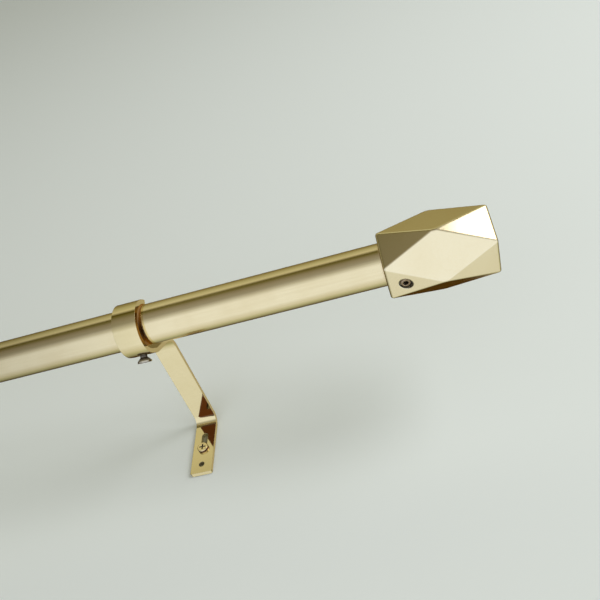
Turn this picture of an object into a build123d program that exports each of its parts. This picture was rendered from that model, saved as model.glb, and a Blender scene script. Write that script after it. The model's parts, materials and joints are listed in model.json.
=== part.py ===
from build123d import *

import os
from math import atan2, cos, radians, sin, sqrt

# Eyelet curtain rod: a tube in two bent-strip hook brackets, with a faceted finial on each end.
# Millimetres. +X runs along the rod to the right, +Y goes into the wall and +Z is up. The origin lies
# on the wall face, halfway between the brackets, at the height of the brackets' lower screw holes.

# Rod
ROD_DIAMETER = 25.0
ROD_WALL = 1.0
CLEAR_LENGTH = 710.0  # rod in view between the two finials
PROJECTION = 109.8  # wall face to rod axis
BRACKET_INSET = 152.5  # finial face to the middle of its bracket

# Bracket strip and the hook bent in its front end
STRIP_WIDTH = 15.0
STRIP_THICKNESS = 2.8
STRIP_CORNER_RADIUS = 1.2
HOOK_CLEARANCE = 1.2  # on the radius, between rod and hook
HOOK_FORWARD = 0.6  # rod axis to the centre of the hook, towards the room
HOOK_LIP_ANGLE = 36.0  # free end of the hook, from straight up towards the room
HOOK_BEND_RADIUS = 7.0  # from the flat at the clamp screw to the rise
RISE_LEAN = 25.0  # strip between hook and arm, from upright towards the wall
ARM_START = 27.4  # rod axis to the corner of rise and arm, towards the wall
ARM_UNDERSIDE = 15.9  # above the rod axis
ARM_BEND_RADIUS = 12.0
ARM_FALL = 2.3  # arm, from its start down to the wall
WALL_BEND_RADIUS = 5.5
PLATE_FOOT_DROP = 31.6  # rod axis down to the lower end of the wall plate

# Wall plate openings
SLOT_WIDTH = 4.5
SLOT_LENGTH = 15.6
SLOT_MIDDLE_DROP = 5.9  # rod axis down to the middle of the slot
HOLE_DIAMETER = 4.0
HOLE_DROP = 24.6  # rod axis down to the lower screw hole

# Wall screw, a cross-recessed flat head
WALL_SCREW_DROP = 11.4  # rod axis down to the screw
WALL_SCREW_DIAMETER = 3.9
WALL_SCREW_LENGTH = 32.0  # under the head
WALL_HEAD_DIAMETER = 7.6
WALL_HEAD_HEIGHT = 2.2
WALL_HEAD_CHAMFER = 0.4
CROSS_SPAN = 4.4
CROSS_WIDTH = 0.95
CROSS_DEPTH = 1.4

# Clamp screw through a flat at the back of the hook, which presses the rod against the lip
CLAMP_ANGLE = 48.0  # from straight down towards the wall
CLAMP_SCREW_DIAMETER = 4.4
CLAMP_SINK_DIAMETER = 7.6
CLAMP_HEAD_DIAMETER = 8.6
CLAMP_HEAD_STANDOFF = 1.3  # strip face to where the head starts to flare
CLAMP_HEAD_HEIGHT = 3.2
CLAMP_HEAD_RIM = 1.0

# Finial, a five-sided bar whose ten corners are cut off, and its socket
FINIAL_SIDES = 5
FINIAL_LENGTH = 61.6
FINIAL_OVERHANG = 7.3  # rod surface out to the finial's long flats
FINIAL_EDGE_RADIUS = 1.7
FINIAL_ROLL = 6.8  # lower cut corner, from straight down towards the wall
FINIAL_GRIP = 24.0  # rod end inside the finial
SOCKET_RELIEF = 1.0  # space past the end of the rod

# Finial set screw, a socket head grub screw
SET_SCREW_INSET = 10.1  # finial face to the screw
SET_SCREW_DIAMETER = 6.0
SET_SCREW_LENGTH = 6.2
SET_SCREW_CHAMFER = 0.6
SET_RECESS_DIAMETER = 7.7
SET_RECESS_DEPTH = 1.6  # below the screw's outer end
HEX_ACROSS_FLATS = 3.0
HEX_DEPTH = 2.4

# Fits
TOUCH_GAP = 0.05  # between pressed faces
THREAD_GAP = 0.1  # on the radius of a tapped hole
SOCKET_GAP = 0.6  # on the radius of the finial socket

ROD_RADIUS = ROD_DIAMETER / 2
ROD_Y = -PROJECTION
ROD_Z = HOLE_DROP
FINIAL_FACE = CLEAR_LENGTH / 2
FINIAL_MIDDLE = FINIAL_FACE + FINIAL_LENGTH / 2
FINIAL_HALF_STEP = radians(180 / FINIAL_SIDES)
FINIAL_FLAT = ROD_RADIUS + FINIAL_OVERHANG  # finial axis to the long flats
FINIAL_MID_RADIUS = FINIAL_FLAT / cos(FINIAL_HALF_STEP)  # finial axis to the points halfway along
FINIAL_CUT = FINIAL_FLAT * cos(FINIAL_HALF_STEP)  # finial axis to the cut corners at the ends
BRACKET_X = FINIAL_FACE - BRACKET_INSET
HOOK_INNER_RADIUS = ROD_RADIUS + HOOK_CLEARANCE
HOOK_OUTER_RADIUS = HOOK_INNER_RADIUS + STRIP_THICKNESS

# The clamp screw lifts the rod off the bottom of the hook until it bears on the lip
LIP_FORWARD = HOOK_FORWARD + HOOK_INNER_RADIUS * sin(radians(HOOK_LIP_ANGLE))
LIP_HEIGHT = HOOK_INNER_RADIUS * cos(radians(HOOK_LIP_ANGLE))
HOOK_DROP = LIP_HEIGHT - sqrt((ROD_RADIUS + TOUCH_GAP) ** 2 - LIP_FORWARD**2)  # rod axis to hook centre
HOOK_SHIFT = HOOK_DROP * cos(radians(CLAMP_ANGLE)) - HOOK_FORWARD * sin(radians(CLAMP_ANGLE))
CLAMP_FACE = HOOK_OUTER_RADIUS + HOOK_SHIFT  # rod axis to the flat


def below(angle):
    """Direction square to the rod, at an angle from straight down towards the wall."""
    return Vector(0, sin(radians(angle)), -cos(radians(angle)))


# The set screw draws the finial down until its socket bears on the top of the rod
FINIAL_OFFSET = below(FINIAL_ROLL) * (SOCKET_GAP - TOUCH_GAP)


def across_rod(x, shift=Vector()):
    """Plane square to the rod at x, with its own axes along Y and Z, centred on the rod axis or shifted."""
    return Plane(origin=Vector(x, ROD_Y, ROD_Z) + shift, x_dir=(0, 1, 0), z_dir=(1, 0, 0))


def along_screw(x, angle):
    """Plane through the rod axis at x, whose own Y is a screw pointing away from the rod."""
    outward = below(angle)
    return Plane(origin=(x, ROD_Y, ROD_Z), x_dir=(1, 0, 0), z_dir=Vector(1, 0, 0).cross(outward))


def square_to_screw(x, angle, distance):
    """Plane at a distance from the rod axis, facing outward along a screw."""
    outward = below(angle)
    origin = Vector(x, ROD_Y, ROD_Z) + outward * distance
    return Plane(origin=origin, x_dir=(1, 0, 0), z_dir=outward)


def on_wall(x, drop):
    """Plane on the wall face, at a drop below the rod axis, facing the room."""
    return Plane(origin=(x, 0, ROD_Z - drop), x_dir=(1, 0, 0), z_dir=(0, -1, 0))


def make_rod():
    """Drawn tube that reaches into both finials."""
    with BuildPart() as rod:
        with BuildSketch(across_rod(0)):
            Circle(ROD_RADIUS)
            Circle(ROD_RADIUS - ROD_WALL, mode=Mode.SUBTRACT)
        extrude(amount=FINIAL_FACE + FINIAL_GRIP, both=True)
    return rod


def make_bracket(x):
    """One strip: hook round the rod, arm to the wall and plate down the wall."""
    lip = 90 + HOOK_LIP_ANGLE
    flat_start = 270 + CLAMP_ANGLE
    plate_face = PROJECTION - STRIP_THICKNESS
    with BuildPart() as bracket:
        with BuildSketch(across_rod(x)):
            with BuildLine():
                hook = CenterArc((-HOOK_FORWARD, -HOOK_DROP), HOOK_OUTER_RADIUS, lip, flat_start - lip)
                arm_corner = (ARM_START, ARM_UNDERSIDE)
                rise = PolarLine(arm_corner, PROJECTION, 270 - RISE_LEAN, mode=Mode.PRIVATE)
                flat = IntersectingLine(hook @ 1, hook % 1, rise, mode=Mode.PRIVATE)
                FilletPolyline(
                    flat @ 0,
                    flat @ 1,
                    arm_corner,
                    (plate_face, ARM_UNDERSIDE - ARM_FALL),
                    (plate_face, -PLATE_FOOT_DROP),
                    radius=(HOOK_BEND_RADIUS, ARM_BEND_RADIUS, WALL_BEND_RADIUS),
                )
                offset(amount=STRIP_THICKNESS, side=Side.LEFT)
            make_face()
        extrude(amount=STRIP_WIDTH / 2, both=True)
        foot = bracket.edges().filter_by(Axis.Y).group_by(Axis.Z)[0]
        fillet(foot, STRIP_CORNER_RADIUS)
        with BuildSketch(on_wall(x, SLOT_MIDDLE_DROP)):
            SlotOverall(SLOT_LENGTH, SLOT_WIDTH, rotation=90)
        with BuildSketch(on_wall(x, HOLE_DROP)):
            Circle(HOLE_DIAMETER / 2)
        extrude(amount=STRIP_THICKNESS, mode=Mode.SUBTRACT)
        with Locations(square_to_screw(x, CLAMP_ANGLE, CLAMP_FACE)):
            CounterSinkHole(
                CLAMP_SCREW_DIAMETER / 2 + THREAD_GAP,
                CLAMP_SINK_DIAMETER / 2,
                depth=STRIP_THICKNESS * 2,
            )
    return bracket


def make_clamp_screw(x):
    """Screw with a flared head, its tip on the rod."""
    shank = CLAMP_SCREW_DIAMETER / 2
    rim = CLAMP_HEAD_DIAMETER / 2
    tip = ROD_RADIUS + TOUCH_GAP
    flare_at = CLAMP_FACE + CLAMP_HEAD_STANDOFF
    top = flare_at + CLAMP_HEAD_HEIGHT
    plane = along_screw(x, CLAMP_ANGLE)
    with BuildPart() as screw:
        with BuildSketch(plane):
            with BuildLine():
                Polyline(
                    (0, tip),
                    (shank, tip),
                    (shank, flare_at),
                    (rim, top - CLAMP_HEAD_RIM),
                    (rim, top),
                    (0, top),
                    close=True,
                )
            make_face()
        revolve(axis=Axis(plane.origin, plane.y_dir))
        with BuildSketch(square_to_screw(x, CLAMP_ANGLE, top)):
            Rectangle(CROSS_SPAN, CROSS_WIDTH)
            Rectangle(CROSS_WIDTH, CROSS_SPAN)
        extrude(amount=-CROSS_DEPTH, mode=Mode.SUBTRACT)
    return screw


def make_wall_screw(x):
    """Flat-topped screw through the slot, its shank in the wall."""
    shank = WALL_SCREW_DIAMETER / 2
    rim = WALL_HEAD_DIAMETER / 2
    under_head = on_wall(x, WALL_SCREW_DROP).offset(STRIP_THICKNESS)
    profile = Plane(origin=under_head.origin, x_dir=(1, 0, 0), z_dir=(0, 0, -1))
    with BuildPart() as screw:
        with BuildSketch(profile):
            with BuildLine():
                Polyline(
                    (0, -WALL_SCREW_LENGTH),
                    (shank, -WALL_SCREW_LENGTH),
                    (shank, 0),
                    (rim, 0),
                    (rim, WALL_HEAD_HEIGHT),
                    (0, WALL_HEAD_HEIGHT),
                    close=True,
                )
            make_face()
        revolve(axis=Axis(profile.origin, profile.y_dir))
        head_edge = screw.edges().filter_by(GeomType.CIRCLE).sort_by(Axis.Y)[0]
        chamfer(head_edge, WALL_HEAD_CHAMFER)
        with BuildSketch(under_head.offset(WALL_HEAD_HEIGHT)):
            Rectangle(CROSS_SPAN, CROSS_WIDTH)
            Rectangle(CROSS_WIDTH, CROSS_SPAN)
        extrude(amount=-CROSS_DEPTH, mode=Mode.SUBTRACT)
    return screw


def corner_cuts():
    """Planes, facing outward, that cut the ten corners off the finial's bar."""
    slope = atan2(FINIAL_MID_RADIUS - FINIAL_CUT, FINIAL_LENGTH / 2)
    middle = across_rod(FINIAL_MIDDLE, FINIAL_OFFSET).origin
    cuts = []
    for side in range(FINIAL_SIDES):
        outward = below(FINIAL_ROLL + side * 360 / FINIAL_SIDES)
        for end in (-1, 1):
            facing = outward * cos(slope) + Vector(end * sin(slope), 0, 0)
            cuts.append(Plane(origin=middle + outward * FINIAL_MID_RADIUS, z_dir=facing))
    return cuts


def make_finial():
    """Right finial: the cut bar with rounded edges, a socket for the rod and a set screw hole."""
    core_radius = (FINIAL_FLAT - FINIAL_EDGE_RADIUS) / cos(FINIAL_HALF_STEP)
    first_corner = FINIAL_ROLL - 90
    with BuildPart() as finial:
        with BuildSketch(across_rod(FINIAL_FACE + FINIAL_EDGE_RADIUS, FINIAL_OFFSET)):
            RegularPolygon(core_radius, FINIAL_SIDES, rotation=first_corner)
        extrude(amount=FINIAL_LENGTH - 2 * FINIAL_EDGE_RADIUS)
        for cut in corner_cuts():
            split(bisect_by=cut.offset(-FINIAL_EDGE_RADIUS), keep=Keep.BOTTOM)
        offset(amount=FINIAL_EDGE_RADIUS)
        with BuildSketch(across_rod(FINIAL_FACE, FINIAL_OFFSET)):
            Circle(ROD_RADIUS + SOCKET_GAP)
        extrude(amount=FINIAL_GRIP + SOCKET_RELIEF, mode=Mode.SUBTRACT)
        screw_x = FINIAL_FACE + SET_SCREW_INSET
        with BuildSketch(square_to_screw(screw_x, FINIAL_ROLL, 0)):
            Circle(SET_SCREW_DIAMETER / 2 + THREAD_GAP)
        extrude(amount=FINIAL_MID_RADIUS, mode=Mode.SUBTRACT)
        recess_floor = ROD_RADIUS + SET_SCREW_LENGTH - SET_RECESS_DEPTH
        with BuildSketch(square_to_screw(screw_x, FINIAL_ROLL, recess_floor)):
            Circle(SET_RECESS_DIAMETER / 2)
        extrude(amount=FINIAL_MID_RADIUS - ROD_RADIUS, mode=Mode.SUBTRACT)
    return finial


def make_set_screw():
    """Right grub screw, its tip on the rod and its hexagon socket facing out."""
    screw_x = FINIAL_FACE + SET_SCREW_INSET
    with BuildPart() as screw:
        with BuildSketch(square_to_screw(screw_x, FINIAL_ROLL, ROD_RADIUS + TOUCH_GAP)):
            Circle(SET_SCREW_DIAMETER / 2)
        extrude(amount=SET_SCREW_LENGTH)
        outer_rim = screw.edges().filter_by(GeomType.CIRCLE).sort_by(Axis.Z)[0]
        chamfer(outer_rim, SET_SCREW_CHAMFER)
        outer_end = ROD_RADIUS + TOUCH_GAP + SET_SCREW_LENGTH
        with BuildSketch(square_to_screw(screw_x, FINIAL_ROLL, outer_end)):
            RegularPolygon(HEX_ACROSS_FLATS / 2, 6, major_radius=False)
        extrude(amount=-HEX_DEPTH, mode=Mode.SUBTRACT)
    return screw


def mirrored(right):
    """The same piece at the left end of the rod."""
    with BuildPart() as left:
        mirror(right.part, about=Plane.YZ)
    return left


finial_right = make_finial()
set_screw_right = make_set_screw()
pieces = {
    "rod_tube": make_rod(),
    "finial_right": finial_right,
    "finial_left": mirrored(finial_right),
    "finial_set_screw_right": set_screw_right,
    "finial_set_screw_left": mirrored(set_screw_right),
}
for end, x in (("right", BRACKET_X), ("left", -BRACKET_X)):
    pieces[f"bracket_{end}"] = make_bracket(x)
    pieces[f"clamp_screw_{end}"] = make_clamp_screw(x)
    pieces[f"wall_screw_{end}"] = make_wall_screw(x)

os.makedirs("parts", exist_ok=True)
for name, piece in pieces.items():
    piece.part.label = name
    export_step(piece.part, f"parts/{name}.step")
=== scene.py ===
import json
from math import cos, pi, radians, sin

import bmesh
import bpy
from mathutils import Matrix, Vector


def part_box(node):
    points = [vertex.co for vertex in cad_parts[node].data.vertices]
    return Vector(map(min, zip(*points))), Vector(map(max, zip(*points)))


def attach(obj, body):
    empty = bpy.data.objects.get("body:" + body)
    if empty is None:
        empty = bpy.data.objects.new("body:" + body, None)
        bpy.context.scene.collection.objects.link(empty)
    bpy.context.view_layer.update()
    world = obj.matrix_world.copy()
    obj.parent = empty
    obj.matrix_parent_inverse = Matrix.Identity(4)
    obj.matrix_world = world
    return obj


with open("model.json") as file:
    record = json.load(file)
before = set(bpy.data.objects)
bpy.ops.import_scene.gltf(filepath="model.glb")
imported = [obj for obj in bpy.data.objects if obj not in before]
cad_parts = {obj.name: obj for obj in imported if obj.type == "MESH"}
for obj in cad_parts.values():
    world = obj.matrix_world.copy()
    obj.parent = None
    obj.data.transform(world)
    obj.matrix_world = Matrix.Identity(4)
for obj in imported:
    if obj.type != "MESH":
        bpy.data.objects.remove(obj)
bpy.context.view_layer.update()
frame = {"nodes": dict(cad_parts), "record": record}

# Camera of the photograph, below the rod and to its right
CAMERA_PLACE = (0.36814, -0.32944, -0.27155)
CAMERA_TURN = (141.114, 1.029, 17.174)
CAMERA_LENS = 38.69
SENSOR_WIDTH = 36.0

# Metals: base colour, darker tint in the grain, worn edges, lowest and highest roughness
BRUSHED_GOLD = ((0.88, 0.77, 0.51), (0.82, 0.70, 0.44), (0.92, 0.84, 0.62), 0.12, 0.20)
SATIN_GOLD = ((0.94, 0.84, 0.59), (0.91, 0.80, 0.54), (0.96, 0.89, 0.68), 0.12, 0.17)
POLISHED_GOLD = ((0.82, 0.71, 0.43), (0.79, 0.68, 0.40), (0.84, 0.74, 0.47), 0.04, 0.08)
BRASS_SCREW = ((0.87, 0.74, 0.44), (0.80, 0.65, 0.34), (0.93, 0.84, 0.58), 0.08, 0.16)
PLATED_STEEL = ((0.62, 0.58, 0.50), (0.46, 0.42, 0.35), (0.80, 0.77, 0.70), 0.05, 0.12)
DARK_STEEL = ((0.34, 0.24, 0.14), (0.24, 0.16, 0.09), (0.80, 0.76, 0.67), 0.10, 0.20)

# Softened edges in metres, and how far an edge turns, as a cosine, from where its wear starts to full wear
EDGE_RADIUS = 0.00025
FINIAL_EDGE_RADIUS = 0.0008
EDGE_SAMPLES = 4
WEAR_START = 0.998
WEAR_FULL = 0.93

# Painted shade in crevices: reach in metres, openness from where the painted dark starts to full dark, and
# own shape only
CREVICE = (0.004, 0.60, 0.22, False)
BENT_STRIP_CREVICE = (0.006, 0.75, 0.35, True)
NECK_CREVICE = (0.005, 0.88, 0.50, False)
# Painted shade: the dark colour, roughness and samples laid where little is open, where the metal also
# turns matt and not metallic
CREVICE_SHADE_COLOUR = (0.03, 0.016, 0.005)
CREVICE_ROUGHNESS = 0.5
CREVICE_SAMPLES = 8
HOOK_GAP_PAINTED_GLOW = (0.22, 0.10, 0.013)  # painted glow: brown light given off in the gap between hook and rod, where the crevices are painted shaded

# Painted shade in reflections: the darker colours that gold shows where it is seen mirrored in gold close
# by: the rod in the hook, and arm and plate in each other near the wall
ROD_MIRRORED_SHADE = (0.32, 0.16, 0.03)
BRACKET_MIRRORED_SHADE = (0.12, 0.035, 0.005)
BRACKET_DEEP_FROM = -0.050  # along Y, from here to the wall
ROD_DEEP_FROM = -1.0  # in front of the whole rod
DEEP_REACH = 0.050  # farthest from one surface to the other
DEEP_BLEND = 0.014  # length over which the tint sets in or fades

# Grain: noise per metre along X, Y and Z, and height of the marks in metres
LENGTHWISE_GRAIN = ((14, 2600, 2600), 4.0e-6)
CAST_GRAIN = ((900, 900, 900), 1.5e-6)
POLISHING_GRAIN = ((260, 500, 500), 1.2e-6)
TURNED_GRAIN = ((1500, 1500, 1500), 3.0e-6)
GRAIN_DETAIL = 4.0
GRAIN_ROUGHNESS = 0.6
CLOUD_SCALE = 45.0
CLOUD_DETAIL = 3.0

# Noise levels of the darker tint and the base colour, and of the lowest and highest roughness
TINT_LEVEL = 0.10
COLOUR_LEVEL = 0.30
SMOOTH_LEVEL = 0.3
ROUGH_LEVEL = 0.7

# Studio surround, as colours round the X axis in degrees: 0 is level to the front, 90 is straight up
SURROUND = (
    (-180, (0.36, 0.37, 0.24)),
    (-167, (0.52, 0.53, 0.37)),
    (-152, (0.70, 0.70, 0.61)),
    (-135, (0.80, 0.82, 0.80)),
    (-120, (0.91, 0.95, 1.00)),
    (-50, (0.91, 0.95, 1.00)),
    (-40, (0.69, 0.70, 0.68)),
    (-20, (0.34, 0.33, 0.28)),
    (0, (0.28, 0.25, 0.19)),
    (18, (0.16, 0.14, 0.05)),
    (27, (0.08, 0.06, 0.00)),
    (41, (0.66, 0.62, 0.42)),
    (50, (0.54, 0.51, 0.33)),
    (61, (0.47, 0.45, 0.26)),
    (78, (0.33, 0.285, 0.13)),
    (125, (0.06, 0.025, 0.00)),
    (152, (0.06, 0.025, 0.00)),
    (180, (0.36, 0.37, 0.24)),
)

# The surround dims towards the left end: directions along X where it starts and is full, and what is left
LEFT_DIM_START = -0.41
LEFT_DIM_FULL = -0.56
LEFT_DIM_STRENGTH = 0.68

# Lamps: a white panel to the front and right, a warm card above and behind the right end, a fill for the
# wall, and a wide lamp under the part that faces down and lights the floor only
WINDOW_PLACE = Vector((1.665, -1.442, 0.36))
WINDOW_SIZE = 0.9
WINDOW_POWER = 6.0
CARD_PLACE = Vector((0.78, 0.80, 1.06))
CARD_SIZE = 0.8
CARD_POWER = 0.85
CARD_COLOUR = (1.0, 0.96, 0.66)
FILL_PLACE = Vector((1.95, -1.75, -0.05))
FILL_SIZE = 1.4
FILL_POWER = 22.5
FLOOR_LAMP_PLACE = Vector((0.0, -0.6, -0.5))
FLOOR_LAMP_SIZE = 4.4
FLOOR_LAMP_POWER = 24.0
FACING_DOWN = (0.0, 0.0, 0.0)

# Backdrop: pale wall behind the plates, pale floor far below, and plain sides for the other views
WALL_Y = 0.0006
BACKDROP_HALF_WIDTH = 3.2
BACKDROP_FRONT = -3.4
FLOOR_BACK = 4.0
FLOOR_Z = -1.3
BACKDROP_TOP = 2.8
BACKDROP_COLOUR = (0.828, 0.885, 0.897)

# Wall painted darker as shade right behind the slots and holes of the plates: heights of their middles,
# widths and heights
PATCH_SHADE_COLOUR = (0.36, 0.34, 0.22)
PATCH_Y = 0.0003
PATCHES = ((0.0187, 0.0051, 0.0162), (0.0, 0.0046, 0.0046))

# Thread of the wall screws: from the back of the head, in metres
WALL_SCREW_RADIUS = 0.00195
WALL_SCREW_LENGTH = 0.032
THREAD_START = 0.0004
THREAD_END = 0.0313
THREAD_PITCH = 0.0014
THREAD_WIDTH = 0.0008
THREAD_HEIGHT = 0.0002
THREAD_BURIED = 0.00015
THREAD_STEPS = 24


def add_node(tree, kind, inputs=None, **settings):
    """Adds a shader node, with its settings and the values or links of its inputs."""
    node = tree.nodes.new(kind)
    for name, value in settings.items():
        setattr(node, name, value)
    for name, value in (inputs or {}).items():
        if isinstance(value, bpy.types.NodeSocket):
            tree.links.new(value, node.inputs[name])
        else:
            node.inputs[name].default_value = value
    return node


def empty_material(name):
    """Makes a material with nothing but its output node."""
    material = bpy.data.materials.new(name)
    material.use_nodes = True
    tree = material.node_tree
    tree.nodes.clear()
    return material, tree, add_node(tree, "ShaderNodeOutputMaterial")


def make_metal(name, metal, grain, edge_radius=EDGE_RADIUS, crevice=CREVICE, mirrored_shade=None, painted_glow=None):
    """Makes a metal with a fine grain, a broad cloud, worn soft edges, crevices painted dark as shade, and
    where asked a painted darker colour in reflections and a painted glow.
    """
    colour, tint, worn, smooth, rough = metal
    grain_scale, grain_height = grain
    crevice_reach, crevice_start, crevice_full, own_shape_only = crevice
    material, tree, output = empty_material(name)
    place = add_node(tree, "ShaderNodeTexCoord").outputs["Object"]
    stretched = add_node(tree, "ShaderNodeMapping", {"Vector": place, "Scale": grain_scale})
    marks = add_node(
        tree, "ShaderNodeTexNoise",
        {
            "Vector": stretched.outputs["Vector"],
            "Scale": 1.0,
            "Detail": GRAIN_DETAIL,
            "Roughness": GRAIN_ROUGHNESS,
        },
    )
    cloud = add_node(
        tree, "ShaderNodeTexNoise", {"Vector": place, "Scale": CLOUD_SCALE, "Detail": CLOUD_DETAIL},
    )
    blend = add_node(
        tree, "ShaderNodeMath",
        {0: marks.outputs["Fac"], 1: cloud.outputs["Fac"]}, operation="MULTIPLY",
    )
    tone = add_node(tree, "ShaderNodeValToRGB", {"Fac": blend.outputs["Value"]})
    tone.color_ramp.elements[0].position = TINT_LEVEL
    tone.color_ramp.elements[0].color = (*tint, 1.0)
    tone.color_ramp.elements[1].position = COLOUR_LEVEL
    tone.color_ramp.elements[1].color = (*colour, 1.0)
    gloss = add_node(
        tree, "ShaderNodeMapRange",
        {
            "Value": marks.outputs["Fac"],
            "From Min": SMOOTH_LEVEL,
            "From Max": ROUGH_LEVEL,
            "To Min": smooth,
            "To Max": rough,
        },
    )

    edges = add_node(tree, "ShaderNodeBevel", {"Radius": edge_radius}, samples=EDGE_SAMPLES)
    facing = add_node(tree, "ShaderNodeNewGeometry").outputs["Normal"]
    flatness = add_node(
        tree, "ShaderNodeVectorMath", {0: edges.outputs["Normal"], 1: facing}, operation="DOT_PRODUCT",
    )
    wear = add_node(
        tree, "ShaderNodeMapRange",
        {"Value": flatness.outputs["Value"], "From Min": WEAR_START, "From Max": WEAR_FULL},
    )
    shown = add_node(
        tree, "ShaderNodeMixRGB",
        {"Fac": wear.outputs["Result"], "Color1": tone.outputs["Color"], "Color2": (*worn, 1.0)},
    ).outputs["Color"]

    # Painted shade in reflections: seen in a mirror close by, and for the bracket only near the wall, the
    # metal shows a darker colour
    if mirrored_shade is not None:
        mirrored_shade_colour, deep_from = mirrored_shade
        path = add_node(tree, "ShaderNodeLightPath")
        depth = add_node(tree, "ShaderNodeSeparateXYZ", {"Vector": place}).outputs["Y"]
        near = add_node(
            tree, "ShaderNodeMapRange",
            {"Value": depth, "From Min": deep_from, "From Max": deep_from + DEEP_BLEND},
        )
        beside = add_node(
            tree, "ShaderNodeMapRange",
            {
                "Value": path.outputs["Ray Length"],
                "From Min": DEEP_REACH,
                "From Max": DEEP_REACH + DEEP_BLEND,
                "To Min": 1.0,
                "To Max": 0.0,
            },
        )
        deepened = add_node(
            tree, "ShaderNodeMath",
            {0: near.outputs["Result"], 1: beside.outputs["Result"]}, operation="MULTIPLY",
        )
        mirrored = add_node(
            tree, "ShaderNodeMath",
            {0: deepened.outputs["Value"], 1: path.outputs["Is Glossy Ray"]}, operation="MULTIPLY",
        )
        shown = add_node(
            tree, "ShaderNodeMixRGB",
            {"Fac": mirrored.outputs["Value"], "Color1": shown, "Color2": (*mirrored_shade_colour, 1.0)},
        ).outputs["Color"]

    # Painted shade: where little is open around a point, the colour turns to the dark crevice colour and
    # the metal to matt
    openness = add_node(
        tree, "ShaderNodeAmbientOcclusion",
        {"Distance": crevice_reach}, samples=CREVICE_SAMPLES, only_local=own_shape_only,
    )
    crevice_shade = add_node(
        tree, "ShaderNodeMapRange",
        {"Value": openness.outputs["AO"], "From Min": crevice_start, "From Max": crevice_full},
    ).outputs["Result"]
    shown = add_node(
        tree, "ShaderNodeMixRGB", {"Fac": crevice_shade, "Color1": shown, "Color2": (*CREVICE_SHADE_COLOUR, 1.0)},
    ).outputs["Color"]
    metallic = add_node(tree, "ShaderNodeMapRange", {"Value": crevice_shade, "To Min": 1.0, "To Max": 0.0})
    roughness = add_node(
        tree, "ShaderNodeMapRange",
        {"Value": crevice_shade, "To Min": gloss.outputs["Result"], "To Max": CREVICE_ROUGHNESS},
    )

    bump = add_node(
        tree, "ShaderNodeBump",
        {
            "Height": marks.outputs["Fac"],
            "Distance": grain_height,
            "Strength": 1.0,
            "Normal": edges.outputs["Normal"],
        },
    )
    surface = add_node(
        tree, "ShaderNodeBsdfPrincipled",
        {
            "Base Color": shown,
            "Roughness": roughness.outputs["Result"],
            "Normal": bump.outputs["Normal"],
            "Metallic": metallic.outputs["Result"],
        },
    )
    # Painted glow: the metal gives off this brown light as far as its crevices are painted shaded
    if painted_glow is not None:
        surface.inputs["Emission Color"].default_value = (*painted_glow, 1.0)
        tree.links.new(crevice_shade, surface.inputs["Emission Strength"])
    tree.links.new(surface.outputs["BSDF"], output.inputs["Surface"])
    return material


def dress(slot, material):
    """Gives a material to every CAD node that has the named material slot."""
    for part in frame["record"]["subparts"]:
        if part["material_slot"] == slot:
            for material_slot in frame["nodes"][part["node"]].material_slots:
                material_slot.material = material


def make_paint(name, colour):
    """Makes a matt paint that can be seen through from behind."""
    material, tree, output = empty_material(name)
    paint = add_node(tree, "ShaderNodeBsdfDiffuse", {"Color": (*colour, 1.0)})
    clear = add_node(tree, "ShaderNodeBsdfTransparent")
    facing = add_node(tree, "ShaderNodeNewGeometry").outputs["Backfacing"]
    surface = add_node(tree, "ShaderNodeMixShader", {"Fac": facing})
    tree.links.new(paint.outputs["BSDF"], surface.inputs[1])
    tree.links.new(clear.outputs["BSDF"], surface.inputs[2])
    tree.links.new(surface.outputs["Shader"], output.inputs["Surface"])
    return material


def add_mesh(name, shape, material):
    """Turns a finished shape into an object with one material."""
    mesh = bpy.data.meshes.new(name)
    shape.to_mesh(mesh)
    shape.free()
    mesh.materials.append(material)
    piece = bpy.data.objects.new(name, mesh)
    bpy.context.collection.objects.link(piece)
    return piece


def make_backdrop():
    """Makes the pale wall, floor and sides as one large box seen from inside, and floor behind the wall."""
    low = Vector((-BACKDROP_HALF_WIDTH, BACKDROP_FRONT, FLOOR_Z))
    high = Vector((BACKDROP_HALF_WIDTH, WALL_Y, BACKDROP_TOP))
    size = high - low
    shape = bmesh.new()
    bmesh.ops.create_cube(
        shape, size=1.0, matrix=Matrix.Translation((low + high) / 2) @ Matrix.Diagonal((*size, 1.0)),
    )
    bmesh.ops.reverse_faces(shape, faces=shape.faces)
    behind = ((low.x, high.y), (high.x, high.y), (high.x, FLOOR_BACK), (low.x, FLOOR_BACK))
    shape.faces.new([shape.verts.new((x, y, low.z)) for x, y in behind])
    backdrop = add_mesh("backdrop", shape, make_paint("backdrop", BACKDROP_COLOUR))
    backdrop.visible_glossy = False
    backdrop.visible_diffuse = False
    backdrop.visible_shadow = False


def make_wall_patches(name, bracket, paint):
    """Lays pieces of wall painted darker as shade behind the slot and the hole of a bracket's plate."""
    low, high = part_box(bracket)
    middle_x = (low[0] + high[0]) / 2
    shape = bmesh.new()
    for middle_z, width, height in PATCHES:
        corners = [
            shape.verts.new((middle_x + across * width / 2, PATCH_Y, middle_z + up * height / 2))
            for across, up in ((-1, -1), (1, -1), (1, 1), (-1, 1))
        ]
        shape.faces.new(corners)
    add_mesh(name, shape, paint)


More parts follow.
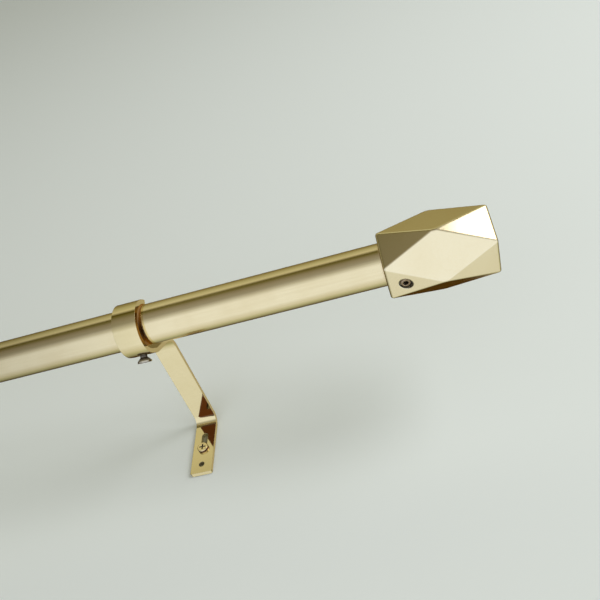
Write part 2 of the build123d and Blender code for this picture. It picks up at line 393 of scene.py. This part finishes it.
def add_thread(name, screw, material):
    """Winds a tapered ridge round the shank of a wall screw."""
    low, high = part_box(screw)
    middle = (Vector(low) + Vector(high)) / 2
    under_head = high[1] - WALL_SCREW_LENGTH
    root = WALL_SCREW_RADIUS - THREAD_BURIED
    turns = (THREAD_END - THREAD_START) / THREAD_PITCH
    count = int(turns * THREAD_STEPS)
    shape = bmesh.new()
    rings = []
    for step in range(count + 1):
        angle = 2 * pi * step / THREAD_STEPS
        along = under_head + THREAD_START + THREAD_PITCH * step / THREAD_STEPS
        taper = min(1.0, step / THREAD_STEPS, (count - step) / THREAD_STEPS)
        crest = WALL_SCREW_RADIUS + THREAD_HEIGHT * taper
        profile = ((root, -THREAD_WIDTH / 2), (crest, 0.0), (root, THREAD_WIDTH / 2))
        rings.append([
            shape.verts.new((middle.x + radius * cos(angle), along + shift, middle.z + radius * sin(angle)))
            for radius, shift in profile
        ])
    for ring, following in zip(rings, rings[1:]):
        for corner in range(len(ring)):
            beside = (corner + 1) % len(ring)
            shape.faces.new((ring[corner], ring[beside], following[beside], following[corner]))
    shape.faces.new(rings[0])
    shape.faces.new(rings[-1])
    bmesh.ops.recalc_face_normals(shape, faces=shape.faces)
    thread = add_mesh(name, shape, material)
    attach(thread, "root")


def make_surround():
    """Lights the scene with soft bands of colour that run along the rod."""
    world = bpy.data.worlds.new("surround")
    world.use_nodes = True
    tree = world.node_tree
    tree.nodes.clear()
    direction = add_node(tree, "ShaderNodeTexCoord").outputs["Generated"]
    parts = add_node(tree, "ShaderNodeSeparateXYZ", {"Vector": direction})
    front = add_node(
        tree, "ShaderNodeMath", {0: parts.outputs["Y"], 1: -1.0}, operation="MULTIPLY",
    )
    angle = add_node(
        tree, "ShaderNodeMath",
        {0: parts.outputs["Z"], 1: front.outputs["Value"]}, operation="ARCTAN2",
    )
    turn = add_node(
        tree, "ShaderNodeMapRange",
        {"Value": angle.outputs["Value"], "From Min": -pi, "From Max": pi, "To Min": 0.0, "To Max": 1.0},
    )
    bands = add_node(tree, "ShaderNodeValToRGB", {"Fac": turn.outputs["Result"]})
    stops = bands.color_ramp.elements
    while len(stops) < len(SURROUND):
        stops.new(0.5)
    for stop, (degrees, colour) in zip(stops, SURROUND):
        stop.position = (degrees + 180) / 360
        stop.color = (*colour, 1.0)
    strength = add_node(
        tree, "ShaderNodeMapRange",
        {
            "Value": parts.outputs["X"],
            "From Min": LEFT_DIM_START,
            "From Max": LEFT_DIM_FULL,
            "To Min": 1.0,
            "To Max": LEFT_DIM_STRENGTH,
        },
    )
    light = add_node(
        tree, "ShaderNodeBackground",
        {"Color": bands.outputs["Color"], "Strength": strength.outputs["Result"]},
    )
    output = add_node(tree, "ShaderNodeOutputWorld")
    tree.links.new(light.outputs["Background"], output.inputs["Surface"])
    bpy.context.scene.world = world


def add_panel(name, place, size, power):
    """Adds a square lamp that faces the middle of the part."""
    lamp = bpy.data.lights.new(name, "AREA")
    lamp.shape = "SQUARE"
    lamp.size = size
    lamp.energy = power
    panel = bpy.data.objects.new(name, lamp)
    panel.location = place
    panel.rotation_euler = place.to_track_quat("Z", "Y").to_euler()
    bpy.context.collection.objects.link(panel)
    return panel


def make_camera():
    """Sets the camera to the photograph's place and angle of view."""
    camera = bpy.data.cameras.new("camera")
    camera.lens = CAMERA_LENS
    camera.sensor_width = SENSOR_WIDTH
    viewer = bpy.data.objects.new("camera", camera)
    viewer.location = CAMERA_PLACE
    viewer.rotation_euler = [radians(angle) for angle in CAMERA_TURN]
    bpy.context.collection.objects.link(viewer)
    bpy.context.scene.camera = viewer


make_camera()
make_surround()
add_panel("window", WINDOW_PLACE, WINDOW_SIZE, WINDOW_POWER)
card = add_panel("card", CARD_PLACE, CARD_SIZE, CARD_POWER)
card.data.color = CARD_COLOUR
card.visible_camera = False
fill = add_panel("fill", FILL_PLACE, FILL_SIZE, FILL_POWER)
fill.visible_glossy = False
floor_lamp = add_panel("floor_lamp", FLOOR_LAMP_PLACE, FLOOR_LAMP_SIZE, FLOOR_LAMP_POWER)
floor_lamp.rotation_euler = FACING_DOWN
floor_lamp.visible_camera = False
floor_lamp.visible_glossy = False
make_backdrop()

rod_mirrored_shade = (ROD_MIRRORED_SHADE, ROD_DEEP_FROM)
bracket_mirrored_shade = (BRACKET_MIRRORED_SHADE, BRACKET_DEEP_FROM)
brass = make_metal("brass_screw", BRASS_SCREW, TURNED_GRAIN)
brushed = make_metal(
    "brushed_gold", BRUSHED_GOLD, LENGTHWISE_GRAIN, mirrored_shade=rod_mirrored_shade, painted_glow=HOOK_GAP_PAINTED_GLOW,
)
dress("rod", brushed)
dress("finial", make_metal("satin_gold", SATIN_GOLD, CAST_GRAIN, FINIAL_EDGE_RADIUS))
polished = make_metal(
    "polished_gold", POLISHED_GOLD, POLISHING_GRAIN, crevice=BENT_STRIP_CREVICE, mirrored_shade=bracket_mirrored_shade,
)
dress("bracket", polished)
dress("wall_screw", brass)
dress("clamp_screw", make_metal("plated_steel", PLATED_STEEL, TURNED_GRAIN, crevice=NECK_CREVICE))
dress("set_screw", make_metal("dark_steel", DARK_STEEL, TURNED_GRAIN))

# Pieces of wall painted darker as shade behind the slots and holes
shaded_paint = make_paint("shaded_wall", PATCH_SHADE_COLOUR)
for end in ("right", "left"):
    make_wall_patches(f"wall_patches_{end}", f"bracket_{end}", shaded_paint)
    add_thread(f"wall_screw_thread_{end}", f"wall_screw_{end}", brass)

bpy.context.scene.view_settings.view_transform = "Standard"
